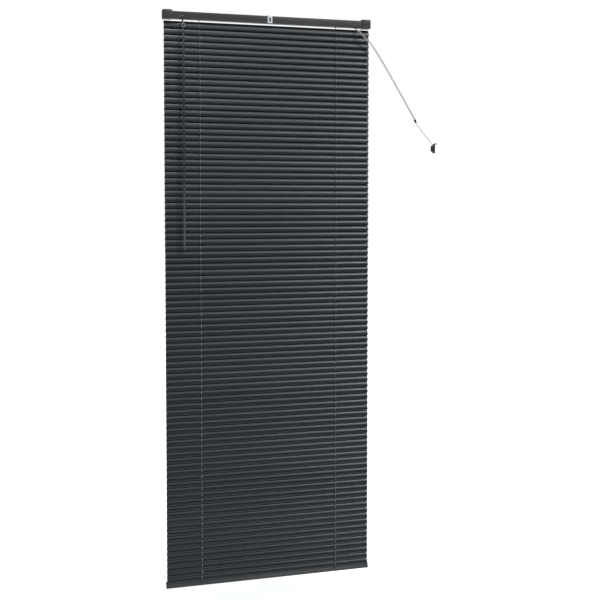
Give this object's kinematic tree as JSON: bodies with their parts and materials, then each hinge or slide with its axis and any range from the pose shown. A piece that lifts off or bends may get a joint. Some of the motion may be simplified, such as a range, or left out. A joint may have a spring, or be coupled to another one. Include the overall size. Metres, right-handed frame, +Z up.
{
  "type": "venetian blinds",
  "caption": "Horizontal slatted window blind with headrail, end brackets, tilt wand, pull cord and bottom rail.",
  "frame": {"origin": "centre of the centre bracket's back face, where it meets the wall", "axes": "+Z up, +X along the slats to the right seen from the room, -Y into the room"},
  "size_m": [1.0208, 0.0498, 2.0099],
  "materials": {
    "rail_paint": "satin black enamel on folded steel",
    "slat_paint": "satin black enamel on thin aluminium strip",
    "zinc": "bright zinc-plated steel",
    "dark_plastic": "black moulded plastic",
    "wand_plastic": "dark grey extruded plastic",
    "pale_cord": "pale grey braided polyester cord"
  },
  "bodies": {
    "root": {"headrail": "rail_paint", "end_bracket_left": "rail_paint", "end_bracket_right": "rail_paint", "centre_bracket": "zinc", "cord_lock": "dark_plastic", "pull_cord_left": "pale_cord", "pull_cord_right": "pale_cord", "cord_joiner": "dark_plastic", "tail_cord": "pale_cord", "cleat": "dark_plastic"},
    "tilt_rod": {"tilt_rod": "zinc"},
    "tilter_worm": {"tilter_worm": "dark_plastic"},
    "wand": {"wand": "wand_plastic"},
    "bottom_rail": {"bottom_rail": "rail_paint"},
    "slat_pair_01": {"slat_pair_01": "slat_paint"},
    "slat_pair_02": {"slat_pair_02": "slat_paint"},
    "slat_pair_03": {"slat_pair_03": "slat_paint"},
    "slat_pair_04": {"slat_pair_04": "slat_paint"},
    "slat_pair_05": {"slat_pair_05": "slat_paint"},
    "slat_pair_06": {"slat_pair_06": "slat_paint"},
    "slat_pair_07": {"slat_pair_07": "slat_paint"},
    "slat_pair_08": {"slat_pair_08": "slat_paint"},
    "slat_pair_09": {"slat_pair_09": "slat_paint"},
    "slat_pair_10": {"slat_pair_10": "slat_paint"},
    "slat_pair_11": {"slat_pair_11": "slat_paint"},
    "slat_pair_12": {"slat_pair_12": "slat_paint"},
    "slat_pair_13": {"slat_pair_13": "slat_paint"},
    "slat_pair_14": {"slat_pair_14": "slat_paint"},
    "slat_pair_15": {"slat_pair_15": "slat_paint"},
    "slat_pair_16": {"slat_pair_16": "slat_paint"},
    "slat_pair_17": {"slat_pair_17": "slat_paint"},
    "slat_pair_18": {"slat_pair_18": "slat_paint"},
    "slat_pair_19": {"slat_pair_19": "slat_paint"},
    "slat_pair_20": {"slat_pair_20": "slat_paint"},
    "slat_pair_21": {"slat_pair_21": "slat_paint"},
    "slat_pair_22": {"slat_pair_22": "slat_paint"},
    "slat_pair_23": {"slat_pair_23": "slat_paint"},
    "slat_pair_24": {"slat_pair_24": "slat_paint"},
    "slat_pair_25": {"slat_pair_25": "slat_paint"},
    "slat_pair_26": {"slat_pair_26": "slat_paint"},
    "slat_pair_27": {"slat_pair_27": "slat_paint"},
    "slat_pair_28": {"slat_pair_28": "slat_paint"},
    "slat_pair_29": {"slat_pair_29": "slat_paint"},
    "slat_pair_30": {"slat_pair_30": "slat_paint"},
    "slat_pair_31": {"slat_pair_31": "slat_paint"},
    "slat_pair_32": {"slat_pair_32": "slat_paint"},
    "slat_pair_33": {"slat_pair_33": "slat_paint"},
    "slat_pair_34": {"slat_pair_34": "slat_paint"},
    "slat_pair_35": {"slat_pair_35": "slat_paint"},
    "slat_pair_36": {"slat_pair_36": "slat_paint"},
    "slat_pair_37": {"slat_pair_37": "slat_paint"},
    "slat_pair_38": {"slat_pair_38": "slat_paint"},
    "slat_pair_39": {"slat_pair_39": "slat_paint"},
    "slat_pair_40": {"slat_pair_40": "slat_paint"},
    "slat_pair_41": {"slat_pair_41": "slat_paint"},
    "slat_pair_42": {"slat_pair_42": "slat_paint"},
    "slat_pair_43": {"slat_pair_43": "slat_paint"},
    "slat_pair_44": {"slat_pair_44": "slat_paint"},
    "slat_pair_45": {"slat_pair_45": "slat_paint"},
    "slat_pair_46": {"slat_pair_46": "slat_paint"}
  },
  "joints": [
    {"name": "tilt", "type": "hinge", "parent": "root", "child": "tilt_rod", "pos_m": [0, -0.0155, 0], "axis": [1, 0, 0], "range_deg": [-138, 0]},
    {"name": "worm_turn", "type": "hinge", "parent": "root", "child": "tilter_worm", "pos_m": [-0.3125, -0.0215, -0.003], "axis": [0, -0.5735, -0.8192], "range_deg": [-1470, 30]},
    {"name": "wand_swing", "type": "hinge", "parent": "root", "child": "wand", "pos_m": [-0.3125, -0.046, -0.038], "axis": [-1, 0, 0], "range_deg": [0, 60]},
    {"name": "bottom_rail_tilt", "type": "hinge", "parent": "root", "child": "bottom_rail", "pos_m": [0, -0.0155, -1.981], "axis": [1, 0, 0], "range_deg": [-141, 3]},
    {"name": "slat_tilt_01", "type": "hinge", "parent": "root", "child": "slat_pair_01", "pos_m": [0, -0.0155, -0.04083], "axis": [1, 0, 0], "range_deg": [-141, 3]},
    {"name": "slat_tilt_02", "type": "hinge", "parent": "root", "child": "slat_pair_02", "pos_m": [0, -0.0155, -0.08332], "axis": [1, 0, 0], "range_deg": [-141, 3]},
    {"name": "slat_tilt_03", "type": "hinge", "parent": "root", "child": "slat_pair_03", "pos_m": [0, -0.0155, -0.12582], "axis": [1, 0, 0], "range_deg": [-141, 3]},
    {"name": "slat_tilt_04", "type": "hinge", "parent": "root", "child": "slat_pair_04", "pos_m": [0, -0.0155, -0.16833], "axis": [1, 0, 0], "range_deg": [-141, 3]},
    {"name": "slat_tilt_05", "type": "hinge", "parent": "root", "child": "slat_pair_05", "pos_m": [0, -0.0155, -0.21083], "axis": [1, 0, 0], "range_deg": [-141, 3]},
    {"name": "slat_tilt_06", "type": "hinge", "parent": "root", "child": "slat_pair_06", "pos_m": [0, -0.0155, -0.25333], "axis": [1, 0, 0], "range_deg": [-141, 3]},
    {"name": "slat_tilt_07", "type": "hinge", "parent": "root", "child": "slat_pair_07", "pos_m": [0, -0.0155, -0.29583], "axis": [1, 0, 0], "range_deg": [-141, 3]},
    {"name": "slat_tilt_08", "type": "hinge", "parent": "root", "child": "slat_pair_08", "pos_m": [0, -0.0155, -0.33832], "axis": [1, 0, 0], "range_deg": [-141, 3]},
    {"name": "slat_tilt_09", "type": "hinge", "parent": "root", "child": "slat_pair_09", "pos_m": [0, -0.0155, -0.38083], "axis": [1, 0, 0], "range_deg": [-141, 3]},
    {"name": "slat_tilt_10", "type": "hinge", "parent": "root", "child": "slat_pair_10", "pos_m": [0, -0.0155, -0.42333], "axis": [1, 0, 0], "range_deg": [-141, 3]},
    {"name": "slat_tilt_11", "type": "hinge", "parent": "root", "child": "slat_pair_11", "pos_m": [0, -0.0155, -0.46582], "axis": [1, 0, 0], "range_deg": [-141, 3]},
    {"name": "slat_tilt_12", "type": "hinge", "parent": "root", "child": "slat_pair_12", "pos_m": [0, -0.0155, -0.50833], "axis": [1, 0, 0], "range_deg": [-141, 3]},
    {"name": "slat_tilt_13", "type": "hinge", "parent": "root", "child": "slat_pair_13", "pos_m": [0, -0.0155, -0.55083], "axis": [1, 0, 0], "range_deg": [-141, 3]},
    {"name": "slat_tilt_14", "type": "hinge", "parent": "root", "child": "slat_pair_14", "pos_m": [0, -0.0155, -0.59332], "axis": [1, 0, 0], "range_deg": [-141, 3]},
    {"name": "slat_tilt_15", "type": "hinge", "parent": "root", "child": "slat_pair_15", "pos_m": [0, -0.0155, -0.63582], "axis": [1, 0, 0], "range_deg": [-141, 3]},
    {"name": "slat_tilt_16", "type": "hinge", "parent": "root", "child": "slat_pair_16", "pos_m": [0, -0.0155, -0.67832], "axis": [1, 0, 0], "range_deg": [-141, 3]},
    {"name": "slat_tilt_17", "type": "hinge", "parent": "root", "child": "slat_pair_17", "pos_m": [0, -0.0155, -0.72083], "axis": [1, 0, 0], "range_deg": [-141, 3]},
    {"name": "slat_tilt_18", "type": "hinge", "parent": "root", "child": "slat_pair_18", "pos_m": [0, -0.0155, -0.76333], "axis": [1, 0, 0], "range_deg": [-141, 3]},
    {"name": "slat_tilt_19", "type": "hinge", "parent": "root", "child": "slat_pair_19", "pos_m": [0, -0.0155, -0.80583], "axis": [1, 0, 0], "range_deg": [-141, 3]},
    {"name": "slat_tilt_20", "type": "hinge", "parent": "root", "child": "slat_pair_20", "pos_m": [0, -0.0155, -0.84832], "axis": [1, 0, 0], "range_deg": [-141, 3]},
    {"name": "slat_tilt_21", "type": "hinge", "parent": "root", "child": "slat_pair_21", "pos_m": [0, -0.0155, -0.89082], "axis": [1, 0, 0], "range_deg": [-141, 3]},
    {"name": "slat_tilt_22", "type": "hinge", "parent": "root", "child": "slat_pair_22", "pos_m": [0, -0.0155, -0.93332], "axis": [1, 0, 0], "range_deg": [-141, 3]},
    {"name": "slat_tilt_23", "type": "hinge", "parent": "root", "child": "slat_pair_23", "pos_m": [0, -0.0155, -0.97583], "axis": [1, 0, 0], "range_deg": [-141, 3]},
    {"name": "slat_tilt_24", "type": "hinge", "parent": "root", "child": "slat_pair_24", "pos_m": [0, -0.0155, -1.01832], "axis": [1, 0, 0], "range_deg": [-141, 3]},
    {"name": "slat_tilt_25", "type": "hinge", "parent": "root", "child": "slat_pair_25", "pos_m": [0, -0.0155, -1.06082], "axis": [1, 0, 0], "range_deg": [-141, 3]},
    {"name": "slat_tilt_26", "type": "hinge", "parent": "root", "child": "slat_pair_26", "pos_m": [0, -0.0155, -1.10332], "axis": [1, 0, 0], "range_deg": [-141, 3]},
    {"name": "slat_tilt_27", "type": "hinge", "parent": "root", "child": "slat_pair_27", "pos_m": [0, -0.0155, -1.14583], "axis": [1, 0, 0], "range_deg": [-141, 3]},
    {"name": "slat_tilt_28", "type": "hinge", "parent": "root", "child": "slat_pair_28", "pos_m": [0, -0.0155, -1.18833], "axis": [1, 0, 0], "range_deg": [-141, 3]},
    {"name": "slat_tilt_29", "type": "hinge", "parent": "root", "child": "slat_pair_29", "pos_m": [0, -0.0155, -1.23083], "axis": [1, 0, 0], "range_deg": [-141, 3]},
    {"name": "slat_tilt_30", "type": "hinge", "parent": "root", "child": "slat_pair_30", "pos_m": [0, -0.0155, -1.27333], "axis": [1, 0, 0], "range_deg": [-141, 3]},
    {"name": "slat_tilt_31", "type": "hinge", "parent": "root", "child": "slat_pair_31", "pos_m": [0, -0.0155, -1.31583], "axis": [1, 0, 0], "range_deg": [-141, 3]},
    {"name": "slat_tilt_32", "type": "hinge", "parent": "root", "child": "slat_pair_32", "pos_m": [0, -0.0155, -1.35833], "axis": [1, 0, 0], "range_deg": [-141, 3]},
    {"name": "slat_tilt_33", "type": "hinge", "parent": "root", "child": "slat_pair_33", "pos_m": [0, -0.0155, -1.40082], "axis": [1, 0, 0], "range_deg": [-141, 3]},
    {"name": "slat_tilt_34", "type": "hinge", "parent": "root", "child": "slat_pair_34", "pos_m": [0, -0.0155, -1.44332], "axis": [1, 0, 0], "range_deg": [-141, 3]},
    {"name": "slat_tilt_35", "type": "hinge", "parent": "root", "child": "slat_pair_35", "pos_m": [0, -0.0155, -1.48582], "axis": [1, 0, 0], "range_deg": [-141, 3]},
    {"name": "slat_tilt_36", "type": "hinge", "parent": "root", "child": "slat_pair_36", "pos_m": [0, -0.0155, -1.52832], "axis": [1, 0, 0], "range_deg": [-141, 3]},
    {"name": "slat_tilt_37", "type": "hinge", "parent": "root", "child": "slat_pair_37", "pos_m": [0, -0.0155, -1.57082], "axis": [1, 0, 0], "range_deg": [-141, 3]},
    {"name": "slat_tilt_38", "type": "hinge", "parent": "root", "child": "slat_pair_38", "pos_m": [0, -0.0155, -1.61332], "axis": [1, 0, 0], "range_deg": [-141, 3]},
    {"name": "slat_tilt_39", "type": "hinge", "parent": "root", "child": "slat_pair_39", "pos_m": [0, -0.0155, -1.65583], "axis": [1, 0, 0], "range_deg": [-141, 3]},
    {"name": "slat_tilt_40", "type": "hinge", "parent": "root", "child": "slat_pair_40", "pos_m": [0, -0.0155, -1.69833], "axis": [1, 0, 0], "range_deg": [-141, 3]},
    {"name": "slat_tilt_41", "type": "hinge", "parent": "root", "child": "slat_pair_41", "pos_m": [0, -0.0155, -1.74083], "axis": [1, 0, 0], "range_deg": [-141, 3]},
    {"name": "slat_tilt_42", "type": "hinge", "parent": "root", "child": "slat_pair_42", "pos_m": [0, -0.0155, -1.78333], "axis": [1, 0, 0], "range_deg": [-141, 3]},
    {"name": "slat_tilt_43", "type": "hinge", "parent": "root", "child": "slat_pair_43", "pos_m": [0, -0.0155, -1.82583], "axis": [1, 0, 0], "range_deg": [-141, 3]},
    {"name": "slat_tilt_44", "type": "hinge", "parent": "root", "child": "slat_pair_44", "pos_m": [0, -0.0155, -1.86833], "axis": [1, 0, 0], "range_deg": [-141, 3]},
    {"name": "slat_tilt_45", "type": "hinge", "parent": "root", "child": "slat_pair_45", "pos_m": [0, -0.0155, -1.91082], "axis": [1, 0, 0], "range_deg": [-141, 3]},
    {"name": "slat_tilt_46", "type": "hinge", "parent": "root", "child": "slat_pair_46", "pos_m": [0, -0.0155, -1.95332], "axis": [1, 0, 0], "range_deg": [-141, 3]}
  ],
  "couplings": [
    {"joint": "worm_turn", "follows": "tilt", "ratio": 10.435},
    {"joint": "bottom_rail_tilt", "follows": "tilt", "ratio": 1},
    {"joint": "slat_tilt_01", "follows": "tilt", "ratio": 1},
    {"joint": "slat_tilt_02", "follows": "tilt", "ratio": 1},
    {"joint": "slat_tilt_03", "follows": "tilt", "ratio": 1},
    {"joint": "slat_tilt_04", "follows": "tilt", "ratio": 1},
    {"joint": "slat_tilt_05", "follows": "tilt", "ratio": 1},
    {"joint": "slat_tilt_06", "follows": "tilt", "ratio": 1},
    {"joint": "slat_tilt_07", "follows": "tilt", "ratio": 1},
    {"joint": "slat_tilt_08", "follows": "tilt", "ratio": 1},
    {"joint": "slat_tilt_09", "follows": "tilt", "ratio": 1},
    {"joint": "slat_tilt_10", "follows": "tilt", "ratio": 1},
    {"joint": "slat_tilt_11", "follows": "tilt", "ratio": 1},
    {"joint": "slat_tilt_12", "follows": "tilt", "ratio": 1},
    {"joint": "slat_tilt_13", "follows": "tilt", "ratio": 1},
    {"joint": "slat_tilt_14", "follows": "tilt", "ratio": 1},
    {"joint": "slat_tilt_15", "follows": "tilt", "ratio": 1},
    {"joint": "slat_tilt_16", "follows": "tilt", "ratio": 1},
    {"joint": "slat_tilt_17", "follows": "tilt", "ratio": 1},
    {"joint": "slat_tilt_18", "follows": "tilt", "ratio": 1},
    {"joint": "slat_tilt_19", "follows": "tilt", "ratio": 1},
    {"joint": "slat_tilt_20", "follows": "tilt", "ratio": 1},
    {"joint": "slat_tilt_21", "follows": "tilt", "ratio": 1},
    {"joint": "slat_tilt_22", "follows": "tilt", "ratio": 1},
    {"joint": "slat_tilt_23", "follows": "tilt", "ratio": 1},
    {"joint": "slat_tilt_24", "follows": "tilt", "ratio": 1},
    {"joint": "slat_tilt_25", "follows": "tilt", "ratio": 1},
    {"joint": "slat_tilt_26", "follows": "tilt", "ratio": 1},
    {"joint": "slat_tilt_27", "follows": "tilt", "ratio": 1},
    {"joint": "slat_tilt_28", "follows": "tilt", "ratio": 1},
    {"joint": "slat_tilt_29", "follows": "tilt", "ratio": 1},
    {"joint": "slat_tilt_30", "follows": "tilt", "ratio": 1},
    {"joint": "slat_tilt_31", "follows": "tilt", "ratio": 1},
    {"joint": "slat_tilt_32", "follows": "tilt", "ratio": 1},
    {"joint": "slat_tilt_33", "follows": "tilt", "ratio": 1},
    {"joint": "slat_tilt_34", "follows": "tilt", "ratio": 1},
    {"joint": "slat_tilt_35", "follows": "tilt", "ratio": 1},
    {"joint": "slat_tilt_36", "follows": "tilt", "ratio": 1},
    {"joint": "slat_tilt_37", "follows": "tilt", "ratio": 1},
    {"joint": "slat_tilt_38", "follows": "tilt", "ratio": 1},
    {"joint": "slat_tilt_39", "follows": "tilt", "ratio": 1},
    {"joint": "slat_tilt_40", "follows": "tilt", "ratio": 1},
    {"joint": "slat_tilt_41", "follows": "tilt", "ratio": 1},
    {"joint": "slat_tilt_42", "follows": "tilt", "ratio": 1},
    {"joint": "slat_tilt_43", "follows": "tilt", "ratio": 1},
    {"joint": "slat_tilt_44", "follows": "tilt", "ratio": 1},
    {"joint": "slat_tilt_45", "follows": "tilt", "ratio": 1},
    {"joint": "slat_tilt_46", "follows": "tilt", "ratio": 1}
  ]
}
